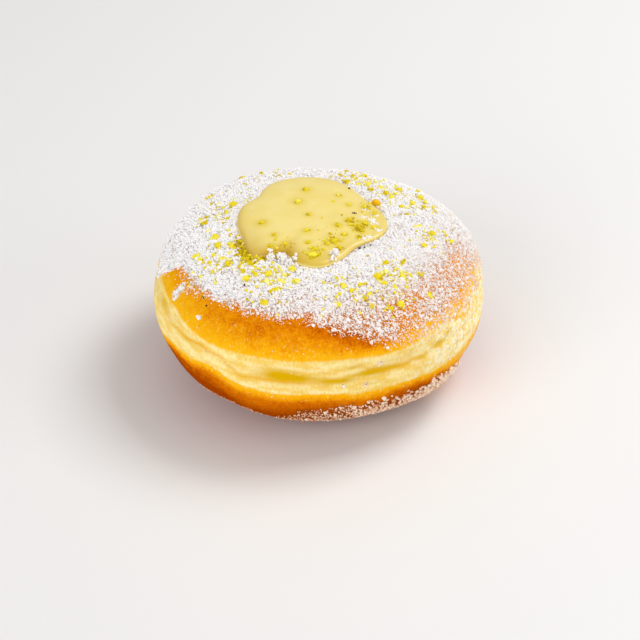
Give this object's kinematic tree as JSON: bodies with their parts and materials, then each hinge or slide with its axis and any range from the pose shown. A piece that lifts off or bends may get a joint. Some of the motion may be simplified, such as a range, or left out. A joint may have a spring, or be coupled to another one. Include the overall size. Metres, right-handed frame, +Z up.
{
  "type": "bombolone",
  "caption": "Round fried yeast bun with a pale band round its waist, dusted with sugar, with a pool of pistachio cream and chopped pistachio on its flat top.",
  "frame": {"origin": "on the floor under the middle of the bun", "axes": "+Z up through the bun's flat top, -Y towards the side with the bare golden crust, +X to its right"},
  "size_m": [0.097, 0.097, 0.0496],
  "materials": {
    "dough": null,
    "cream": null
  },
  "bodies": {
    "root": {"dough": "dough", "cream": "cream"}
  },
  "joints": []
}
